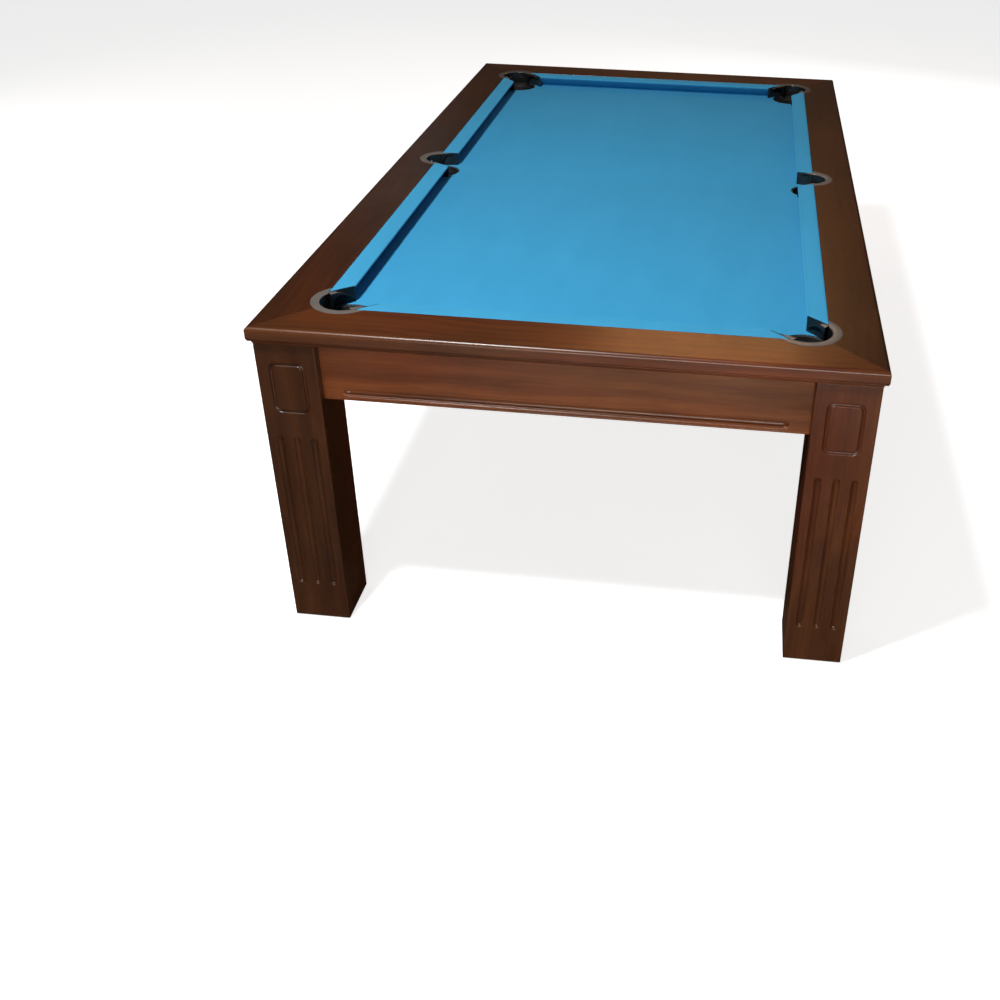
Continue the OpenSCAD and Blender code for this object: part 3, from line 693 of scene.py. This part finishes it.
def build_cushion(name, place, low_end, high_end):
    """Sweeps the section. place turns (across, along, up) into a point, and the two end functions give
    how far along the cloth reaches for a point across, with the way its end face leans."""
    section = cushion_section()
    fold_r = 1.6 * MM
    middle_across, middle_up = -20 * MM, 24 * MM
    turns = [math.radians(22.5 * k) for k in range(1, 5)]
    runs = [(0.0, -fold_r * math.sin(a), fold_r * (1 - math.cos(a))) for a in reversed(turns)]
    steps = 72
    runs += [(k / steps, 0.0, 0.0) for k in range(steps + 1)]
    runs += [(1.0, fold_r * math.sin(a), fold_r * (1 - math.cos(a))) for a in turns]
    vertices, faces = [], []
    for t, beyond, inset in runs:
        for across, up in section:
            pull_u, pull_v = middle_across - across, middle_up - up
            length = math.hypot(pull_u, pull_v)
            u, v = across + pull_u / length * inset, up + pull_v / length * inset
            low, high = low_end(u) + fold_r, high_end(u) - fold_r
            vertices.append(place(u, low + (high - low) * t + beyond, v))
    count = len(section)
    for k in range(len(runs) - 1):
        for j in range(count - 1):
            a = k * count + j
            faces.append((a, a + 1, a + count + 1, a + count))
    cover = mesh_object(name, vertices, faces)
    tidy_faces(cover.data)
    up_face = max(cover.data.polygons, key=lambda p: p.area if abs(p.normal.z) > 0.9 else 0)
    if up_face.normal.z < 0:
        cover.data.flip_normals()
    bpy.context.view_layer.update()
    return cover


corner_set = corner_mouth / math.sqrt(2)


def corner_end(along_nose):
    """Where a cushion ends at a corner pocket: 45 degrees, from the nose back to the wood."""
    return lambda across: along_nose - corner_set + (across + cushion_d)


def side_end(across):
    return side_mouth / 2 - (across + cushion_d) * side_lean


def side_place(signs):
    """A side cushion's own directions, as a function of (across, along, up)."""
    sx, sy = signs
    return lambda u, s, v: (sx * (wood_x + u), sy * s, bed_z + v)


def end_place(signs):
    sx, sy = signs
    return lambda u, s, v: (sx * s, sy * (wood_y + u), bed_z + v)


side_slope = math.hypot(1, side_lean)
corner_slope = math.sqrt(2)
PAD = 3.4 * MM
cover_t = 0.7 * MM
covers = []
side_reach = corner_end(nose_y - PAD * corner_slope)
for name, signs in QUARTERS.items():
    cover = build_cushion("cushion_cover_" + name, side_place(signs),
                          lambda u: side_end(u) + PAD * side_slope, side_reach)
    covers.append((cover, name))
end_reach = corner_end(nose_x - PAD * corner_slope)
for name, sign in (("front", -1), ("back", 1)):
    cover = build_cushion("cushion_cover_" + name, end_place((1, sign)), lambda u: -end_reach(u), end_reach)
    covers.append((cover, name))
for cover, name in covers:
    thicken(cover, cover_t)
    finish_piece(cover, cushion_blue, "blue_cloth", "cushion_cloth_" + name)
    low, high = cover.bound_box[0], cover.bound_box[6]
    run = max(high[0] - low[0], high[1] - low[1])
print("cushion covers", len(covers))

# %% [markdown]
# ## Facings
#
# A hard rubber pad is glued over each cut end, where balls strike it on the way in. It is a plain
# slab, as deep as the cushion and as tall, and the cloth stops at it, so its edge shows as a dark line.
# The rubber is dark, with a blue tint that is a painted reflection of the cloth.

# %% Build the facing pads


def build_facings():
    """All twelve pads as one piece: three for each quarter of the table."""
    section = [(u * MM, v * MM) for u, v in
               [(-0.6, 38.6), (-20, 38.3), (-41.8, 37.1), (-44.6, 36.4), (-45.6, 34.8), (-45.4, 32.0),
                (-44.8, 1.0), (-0.6, 1.0)]]
    thick = 3.2 * MM
    vertices, faces = [], []
    ends = []
    for signs in QUARTERS.values():
        ends.append((side_place(signs), side_end, side_slope))
        ends.append((side_place(signs), corner_end(nose_y), -corner_slope))
        ends.append((end_place(signs), corner_end(nose_x), -corner_slope))
    for place_at, end_at, slope in ends:
        base = len(vertices)
        for depth in (0, thick):
            vertices += [place_at(u, end_at(u) + slope * depth, v) for u, v in section]
        n = len(section)
        faces.append(tuple(base + k for k in range(n)))
        faces.append(tuple(base + n + k for k in reversed(range(n))))
        faces += [(base + k, base + n + k, base + n + (k + 1) % n, base + (k + 1) % n) for k in range(n)]
    pads = mesh_object("facing_pads", vertices, faces, smooth=False)
    tidy_faces(pads.data)
    return pads


facings = finish_piece(build_facings(), facing_rubber, "facing_rubber", "facings")
print("facing pads", len(facings.data.polygons), "faces")

# %% [markdown]
# ## Pocket rings
#
# Each ring is one moulding: a flat collar set into the wood, a skirt that lines the hole, and two
# pointed horns that run in along the cushion ends. The collar's ends are cut along the wood line, not
# across the ring, so every point of its section starts and stops at its own angle.

# %% Build the rings


def ring_profile(inner, outer):
    """Closed section (radius, height below the rail top) of the collar and its skirt."""
    seat, skirt, wall, r = 4 * MM, 42.5 * MM, 3 * MM, 1.3 * MM
    points = [(outer, -seat)]
    points += [(outer - r + r * math.cos(a), -r + r * math.sin(a)) for a in
               [math.radians(d) for d in (0, 30, 60, 90)]]
    points += [(inner + (outer - inner) * 0.5, 0.0)]
    lip = 3.6 * MM
    points += [(inner + lip - lip * math.sin(a), -lip + lip * math.cos(a)) for a in
               [math.radians(d) for d in (0, 22, 45, 68, 90)]]
    points += [(inner, -skirt), (inner + wall, -skirt), (inner + wall, -seat)]
    return points


def build_ring(name, centre, inner, outer, gap_x, turn, mirror_xy):
    """gap_x is how far the wood line lies from the hole's centre, and turn says how far round the
    collar goes: a quarter more on each side of a corner pocket, none on a side pocket."""
    profile = ring_profile(inner, outer)
    steps = 56
    vertices, faces = [], []
    for k in range(steps + 1):
        t = k / steps
        for radius, drop in profile:
            half = math.acos(gap_x / radius)
            a = -half + (turn + 2 * half) * t
            x, y = centre[0] + radius * math.cos(a), centre[1] + radius * math.sin(a)
            vertices.append((x, y, rail_top + drop))
    n = len(profile)
    for k in range(steps):
        for j in range(n):
            a, b = k * n + j, k * n + (j + 1) % n
            faces.append((a, b, b + n, a + n))
    faces += [tuple(reversed(range(n))), tuple(range(steps * n, steps * n + n))]
    for horn in (horn_corner(), horn_corner(True)) if turn else (horn_side(1), horn_side(-1)):
        add_horn(vertices, faces, *horn)
    sx, sy = mirror_xy
    vertices = [(sx * x, sy * y, z) for x, y, z in vertices]
    ring = mesh_object(name, vertices, faces)
    tidy_faces(ring.data, triangulate=True, sharp=math.radians(50))
    return ring


def horn_corner(swap=False):
    """A corner horn's foot, directions, length, width and dive. Swapped, it is the end rail's horn."""
    base = Vector((wood_x, wood_y - corner_set))
    direction, side = Vector((-1, -1)).normalized(), Vector((-1, 1)).normalized()
    if swap:
        base = Vector((wood_x - corner_set, wood_y))
        side = Vector((1, -1)).normalized()
    length, width = 60 * MM, 13 * MM
    dive = (9 if swap else 24) * MM
    return base, direction, side, length, width, dive


def horn_side(sign):
    """The same for a side pocket, whose two horns lie along the cushions on either side."""
    base = Vector((wood_x, sign * (side_mouth / 2 - cushion_d * side_lean)))
    direction = Vector((-1, sign * side_lean)).normalized()
    side = Vector((-side_lean, -sign)).normalized()
    length, width, dive = 36 * MM, 5 * MM, 6 * MM
    return base, direction, side, length, width, dive


def add_horn(vertices, faces, base, direction, side, length, width, dive):
    """A tapering bar with a rounded top, from just inside the collar, diving to a blunt point."""
    start = len(vertices)
    steps, across = 10, 6
    round_t, sunk, clear = 0.8 * MM, 0.1 * MM, 0.2 * MM
    for k in range(steps + 1):
        t = k / steps
        middle = base + direction * (length * t - 2 * MM)
        wide = width * (1 - 0.65 * t) + 2 * MM * (1 - t) ** 6
        deep = 7 * MM * (1 - 0.5 * t) + 32 * MM * (1 - t) ** 6
        dip = sunk + dive * t ** 2
        for j in range(across + 1):
            a = math.pi * j / across
            at = middle + side * (wide * (0.5 - 0.5 * math.cos(a)) + clear)
            vertices.append((at.x, at.y, rail_top - dip - round_t * (1 - math.sin(a))))
        for share in (1, 0):
            at = middle + side * (wide * share + clear)
            vertices.append((at.x, at.y, rail_top - dip - deep))
    n = across + 3
    for k in range(steps):
        for j in range(n):
            a, b = start + k * n + j, start + k * n + (j + 1) % n
            faces.append((a, b, b + n, a + n))
    faces.append(tuple(start + j for j in reversed(range(n))))
    faces.append(tuple(start + steps * n + j for j in range(n)))


print("ring shapes ready")

# %% [markdown]
# ## Ring finish
#
# The rings are grey satin mouldings, painted black below the lip as shade inside the hole. Where the
# painted shade starts depends only on the height, so one material does both, and the rubbed edges come
# from the shared group. The back rings use a darker copy of the finish, which is painted shade too.

# %% Finish and place the rings


def ring_material(name, tone):
    """One finish for all rings, lighter or darker by its tone: the darker copy is painted shade on the back
    rings. Below the lip the moulding is painted black, as shade inside the hole.
    """
    greys = ((0.160, 0.136, 0.120), (0.118, 0.100, 0.088))
    base_pair = [tuple(c * tone for c in shade) + (1,) for shade in greys]
    material, tree, shader = start_material(name, IOR=1.5, Coat_Weight=0.25, Coat_Roughness=0.2)
    here = object_place(tree)
    edge = use_group(tree, edge_group, Place=here, Radius=0.0015, Breakup=120.0)
    handled = use_group(tree, cloud_group, Place=here, Scale=30.0, Low=0.30, High=0.48)
    base = blend_colour(tree, handled["Mask"], *base_pair)
    rubbed = blend_colour(tree, maths(tree, "MULTIPLY", edge["Mask"], 0.6), base, (0.34, 0.33, 0.32, 1))
    height = add(tree, "ShaderNodeSeparateXYZ", None, i0=here).outputs[2]
    # Painted shade: from 2 to 3 mm under the rail top downwards the moulding turns black, where the hole's
    # inside lies in shade.
    hole_shade = between(tree, height, rail_top - 2.0 * MM, rail_top - 3.0 * MM)
    hole_shaded = blend_colour(tree, hole_shade, rubbed, (0.006, 0.006, 0.007, 1))
    tree.links.new(hole_shaded, shader.inputs["Base Color"])
    tree.links.new(handled["Roughness"], shader.inputs["Roughness"])
    grit = texture_noise(tree, here, 1100.0, 2.0)
    tree.links.new(bump(tree, grit, 0.0001, 0.2), shader.inputs["Normal"])
    return material


# The back rings take a darker copy of the finish: painted shade.
ring_near = ring_material("ring_near", 0.80)
ring_far_painted_shade = ring_material("ring_far_painted_shade", 0.5)
ring_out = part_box("ring_back_right")[1].x - corner_x
side_ring_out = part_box("ring_side_right")[1].x - side_x
for name, signs in QUARTERS.items():
    ring = build_ring("pocket_ring_" + name, (corner_x, corner_y), corner_r, ring_out, wood_x - corner_x,
                      math.pi / 2, signs)
    finish_piece(ring, ring_far_painted_shade if signs[1] > 0 else ring_near, "pocket_ring", "ring_" + name)
for name, sign in SIDES.items():
    ring = build_ring("pocket_ring_" + name, (side_x, 0), side_r, side_ring_out, wood_x - side_x, 0,
                      (sign, 1))
    finish_piece(ring, ring_near, "pocket_ring", "ring_" + name)
print("rings out to", round(ring_out, 4), "and", round(side_ring_out, 4))

# %% [markdown]
# ## Bag leather
#
# Black leather has a pebbled surface of small cells with creases over it. The cells are a Voronoi
# pattern read by its distance to the nearest edge, which leaves a valley between pebbles.

# %% Make the leather


def leather_material():
    material, tree, shader = start_material("bag_leather", IOR=1.45, Specular_IOR_Level=0.4)
    here = object_place(tree)
    cells = add(tree, "ShaderNodeTexVoronoi", {"feature": "DISTANCE_TO_EDGE"}, Vector=here, Scale=520.0)
    pebble = between(tree, cells.outputs["Distance"], 0.0, 0.25)
    crease = texture_noise(tree, here, 60.0, 4.0, 0.6)
    height = maths(tree, "ADD", pebble, maths(tree, "MULTIPLY", crease, 0.8))
    handled = use_group(tree, cloud_group, Place=here, Scale=18.0, Low=0.42, High=0.66)
    base = blend_colour(tree, handled["Mask"], (0.010, 0.009, 0.009, 1), (0.030, 0.027, 0.025, 1))
    tree.links.new(base, shader.inputs["Base Color"])
    tree.links.new(handled["Roughness"], shader.inputs["Roughness"])
    tree.links.new(bump(tree, height, 0.0004, 0.6), shader.inputs["Normal"])
    return material


leather = leather_material()
print("leather ready")

# %% [markdown]
# ## Pocket bags
#
# A bag is soft leather, cut in panels, gathered to a stitched hem at the top and sagging into a round
# bottom. It is lofted in rings: the radius swells a little below the hem, and shallow folds fade out
# towards the floor. The wall is real thickness, so a hand or a ball meets an inside.

# %% Build the bags


def bag_ring(r, folds, depth, t, steps):
    """Angles and radii round the bag at a share t of its height, with folds of a given depth."""
    points = []
    for j in range(steps):
        a = math.tau * j / steps
        wave = depth * math.cos(folds * a) + 0.35 * depth * math.cos(2 * folds * a + 1.1)
        points.append((a, r + wave * math.sin(math.pi * min(1.0, t * 1.15)) ** 2))
    return points


def build_bag(name, cx, cy, r, floor_z, rim_z, folds):
    """The wall as an outer skin from hem to floor, then thickened inwards."""
    steps = 96
    outer = r + bag_wall - 0.2 * MM
    hem = 14 * MM
    height = rim_z - floor_z
    hem_t = hem / height
    round_from = 0.72
    profile = [(0.0, outer), (0.02, outer + 0.1 * MM), (hem_t - 0.02, outer + 0.1 * MM),
               (hem_t, outer - 0.9 * MM), (hem_t + 0.02, outer - 0.9 * MM)]
    for k in range(1, 9):
        t = hem_t + (round_from - hem_t) * k / 8
        profile.append((t, outer - 0.6 * MM + 0.6 * MM * math.sin(math.pi * k / 8)))
    for k in range(1, 11):
        a = math.pi / 2 * k / 10
        radius = max(outer * math.cos(a) ** 0.8 - 0.5 * MM, 1.0 * MM)
        profile.append((round_from + (1 - round_from) * math.sin(a), radius))
    vertices = []
    for t, radius in profile:
        for a, rr in bag_ring(radius, folds, 0.9 * MM if 0.1 < t < 0.95 else 0.0, t, steps):
            rr = min(rr, outer + 0.1 * MM)
            vertices.append((cx + rr * math.cos(a), cy + rr * math.sin(a), rim_z - t * height + 0.4 * MM))
    faces = []
    for k in range(len(profile) - 1):
        for j in range(steps):
            n = (j + 1) % steps
            faces.append((k * steps + j, (k + 1) * steps + j, (k + 1) * steps + n, k * steps + n))
    faces.append(tuple((len(profile) - 1) * steps + j for j in range(steps)))
    bag = mesh_object(name, vertices, faces)
    tidy_faces(bag.data)
    side = min(bag.data.polygons, key=lambda p: abs(p.center.z - (rim_z - hem / 2)))
    outward = Vector((side.center.x - cx, side.center.y - cy, 0))
    if side.normal.dot(outward) < 0:
        bag.data.flip_normals()
    thicken(bag, 2.4 * MM)
    return bag


for name in POCKETS:
    cx, cy, r, floor_z, rim_z = bag_place(name)
    bag = build_bag("pocket_bag_" + name, cx, cy, r, floor_z, rim_z, 9 if name in QUARTERS else 7)
    finish_piece(bag, leather, "pocket_leather", "bag_" + name)
print("bags from", round(bag_rim, 3), "down to", round(bag_floor, 3))

# %% [markdown]
# ## Stitches, made by Geometry Nodes
#
# A row of stitches is one short thread repeated along a path, which is what Geometry Nodes do well.
# The tree takes a mesh of bare edges as its path, spaces points along it, and puts one short cylinder
# at each, turned along the path. It ends by making the copies real and giving them their thread.

# %% Build the stitch tree


def stitch_tree():
    tree = bpy.data.node_groups.new("stitches_along_path", "GeometryNodeTree")
    face = tree.interface
    face.new_socket("Geometry", in_out="INPUT", socket_type="NodeSocketGeometry")
    for name, value in (("Spacing", 0.006), ("Stitch length", 0.0038), ("Thread radius", 0.0005)):
        socket = face.new_socket(name, in_out="INPUT", socket_type="NodeSocketFloat")
        socket.default_value = value
    face.new_socket("Thread", in_out="INPUT", socket_type="NodeSocketMaterial")
    face.new_socket("Geometry", in_out="OUTPUT", socket_type="NodeSocketGeometry")
    start, end = tree.nodes.new("NodeGroupInput").outputs, tree.nodes.new("NodeGroupOutput").inputs
    curve = add(tree, "GeometryNodeMeshToCurve", None, Mesh=start["Geometry"]).outputs[0]
    spaced = add(tree, "GeometryNodeResampleCurve", None, Curve=curve)
    spaced.mode = "LENGTH"
    tree.links.new(start["Spacing"], spaced.inputs["Length"])
    thread = add(tree, "GeometryNodeMeshCylinder", None, Vertices=6, Side_Segments=1,
                 Radius=start["Thread radius"], Depth=start["Stitch length"]).outputs["Mesh"]
    tangent = add(tree, "GeometryNodeInputTangent").outputs[0]
    turn = add(tree, "FunctionNodeAlignRotationToVector", {"axis": "Z"}, Vector=tangent).outputs[0]
    placed = add(tree, "GeometryNodeInstanceOnPoints", None, Points=spaced.outputs[0], Instance=thread,
                 Rotation=turn).outputs[0]
    real = add(tree, "GeometryNodeRealizeInstances", None, Geometry=placed).outputs[0]
    dyed = add(tree, "GeometryNodeSetMaterial", None, Geometry=real, Material=start["Thread"]).outputs[0]
    tree.links.new(dyed, end["Geometry"])
    return tree


def run_tree(thing, tree, values):
    """Runs a node tree on an object, with inputs set by the sockets' identifiers, and keeps the mesh."""
    step = thing.modifiers.new("made", "NODES")
    step.node_group = tree
    by_name = {s.name: s.identifier for s in tree.interface.items_tree if s.in_out == "INPUT"}
    for name, value in values.items():
        step[by_name[name]] = value
    bake(thing)


stitches_along_path = stitch_tree()
print("stitch tree", len(stitches_along_path.nodes), "nodes")

# %% [markdown]
# ## Sew the hems
#
# Two rows of stitches go round every bag's hem. The paths are rings of bare edges, all in one mesh, so
# the tree runs once. Its inputs are set by their identifiers before it is first evaluated.

# %% Sew the bags


def thread_material():
    material, tree, shader = start_material("waxed_thread", IOR=1.45, Specular_IOR_Level=0.3)
    here = object_place(tree)
    fibre_twist = texture_noise(tree, here, 1800.0, 2.0)
    handled = use_group(tree, cloud_group, Place=here, Scale=50.0, Low=0.5, High=0.7)
    base = blend_colour(tree, fibre_twist, (0.32, 0.27, 0.19, 1), (0.55, 0.48, 0.36, 1))
    tree.links.new(base, shader.inputs["Base Color"])
    tree.links.new(handled["Roughness"], shader.inputs["Roughness"])
    return material


def hem_paths():
    """Two rows of edges round every bag's hem, as vertices and edges."""
    vertices, edges = [], []
    steps = 72
    rows = (4 * MM, 11 * MM)
    for name in POCKETS:
        cx, cy, r, _, rim_z = bag_place(name)
        reach = r + bag_wall + 0.1 * MM
        for drop in rows:
            base = len(vertices)
            for j in range(steps):
                a = math.tau * j / steps
                vertices.append((cx + reach * math.cos(a), cy + reach * math.sin(a), rim_z - drop))
            edges += [(base + j, base + (j + 1) % steps) for j in range(steps)]
    return vertices, edges


path_vertices, path_edges = hem_paths()
stitch_mesh = bpy.data.meshes.new("bag_stitches")
stitch_mesh.from_pydata(path_vertices, path_edges, [])
stitches = bpy.data.objects.new("bag_stitches", stitch_mesh)
bpy.context.scene.collection.objects.link(stitches)
thread = thread_material()
run_tree(stitches, stitches_along_path, {"Spacing": 6.5 * MM, "Stitch length": 4.2 * MM,
                                         "Thread radius": 0.55 * MM, "Thread": thread})
finish_piece(stitches, thread, "pocket_leather")
print("stitches", len(stitches.data.polygons), "faces")

# %% [markdown]
# ## Floor finish and world
#
# The floor is a matt pale surface with the faintest mottling. A Light Path node lets it glow a little
# for the camera and turns it dark brown in mirrors, so the lacquer keeps its depth. The world is white
# to the camera, and dimmer where it lights the table or is mirrored in it.

# %% Finish the studio
floor_finish, tree, shader = start_material("pale_floor", Roughness=0.9, Specular_IOR_Level=0.1)
mottle = texture_noise(tree, object_place(tree), 3.0, 3.0)
pale = blend_colour(tree, mottle, (0.80, 0.80, 0.79, 1), (0.84, 0.84, 0.83, 1))
floor_rays = add(tree, "ShaderNodeLightPath").outputs
tree.links.new(blend_colour(tree, floor_rays["Is Glossy Ray"], pale, (0.045, 0.028, 0.017, 1)),
               shader.inputs["Base Color"])
glow = maths(tree, "MULTIPLY", floor_rays["Is Camera Ray"], 0.72)
tree.links.new(glow, shader.inputs["Emission Strength"])
shader.inputs["Emission Color"].default_value = (1, 1, 1, 1)
floor.data.materials.append(floor_finish)
world = bpy.data.worlds.new("studio")
bpy.context.scene.world = world
world.use_nodes = True
sky = world.node_tree
sky.nodes.clear()
seen = add(sky, "ShaderNodeBackground", None, Color=(1, 1, 1, 1), Strength=1.0)
lit = add(sky, "ShaderNodeBackground", None, Color=(0.95, 0.97, 1.0, 1), Strength=0.11)
mirrored = add(sky, "ShaderNodeBackground", None, Color=(1.0, 0.82, 0.66, 1), Strength=0.04)
rays = add(sky, "ShaderNodeLightPath").outputs
soft_skies = add(sky, "ShaderNodeMixShader", None, i0=rays["Is Glossy Ray"], i1=lit.outputs[0],
                 i2=mirrored.outputs[0])
both_skies = add(sky, "ShaderNodeMixShader", None, i0=rays["Is Camera Ray"], i1=soft_skies.outputs[0],
                 i2=seen.outputs[0])
sky_out = add(sky, "ShaderNodeOutputWorld")
sky.links.new(both_skies.outputs[0], sky_out.inputs["Surface"])
print("world set")
